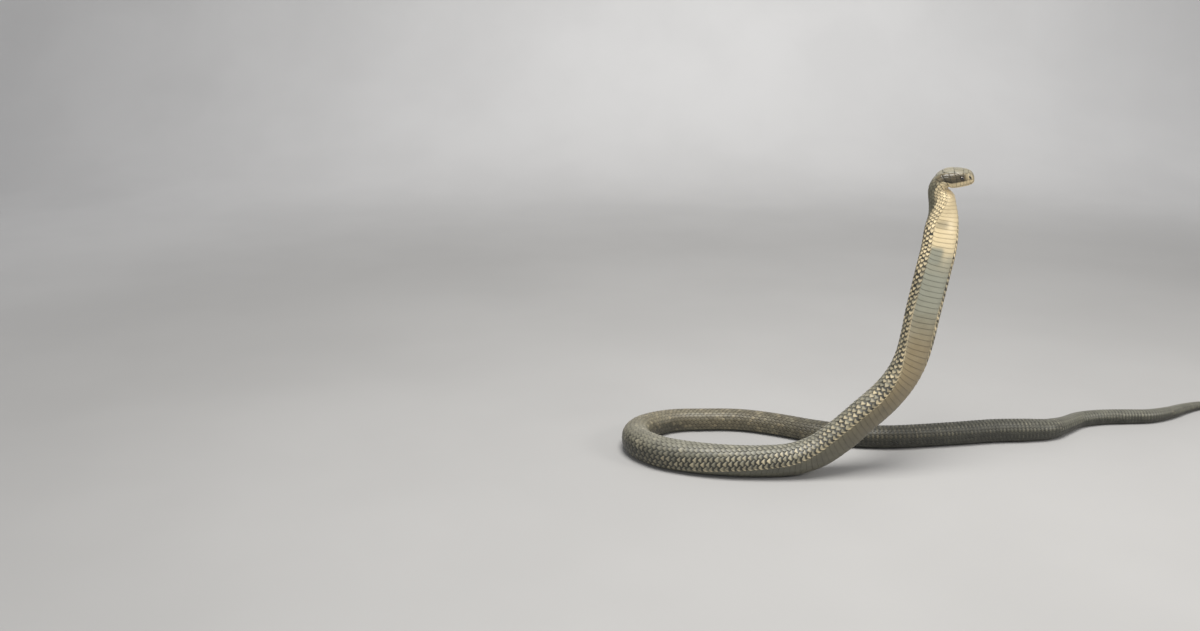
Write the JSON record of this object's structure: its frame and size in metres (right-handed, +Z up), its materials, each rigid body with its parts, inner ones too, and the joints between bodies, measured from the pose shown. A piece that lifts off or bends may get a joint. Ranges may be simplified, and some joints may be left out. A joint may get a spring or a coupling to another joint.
{
  "type": "king cobra",
  "caption": "Life-size still model of a king cobra resting in an open loop, its front third raised upright, neck part spread and head turned level, for display on a floor.",
  "frame": {"origin": "middle of the ground plan, on the floor that the belly rests on", "axes": "+X from the loop towards the tail's tip, the longest extent; +Y away from the side that the raised belly faces; +Z up"},
  "size_m": [1.7601, 0.4931, 0.7005],
  "materials": {
    "back_skin": "smooth overlapping olive scales with dark skin between them, satin",
    "throat_skin": "smooth cream to straw-yellow scales and wide belly scutes, satin",
    "tail_skin": "smooth dark olive-grey scales, satin",
    "eye": "wet, clear gloss over a dark bronze iris and a round pupil"
  },
  "bodies": {
    "root": {"head": "back_skin", "eye_left": "eye", "eye_right": "eye", "neck": "throat_skin", "forebody_upper": "back_skin", "forebody_lower": "back_skin", "midbody_front": "back_skin", "bend_near": "back_skin", "bend_far": "back_skin", "midbody_rear": "back_skin", "hindbody_front": "back_skin", "hindbody_rear": "back_skin", "tail_base": "tail_skin", "tail_middle": "tail_skin", "tail_tip": "tail_skin"}
  },
  "joints": []
}
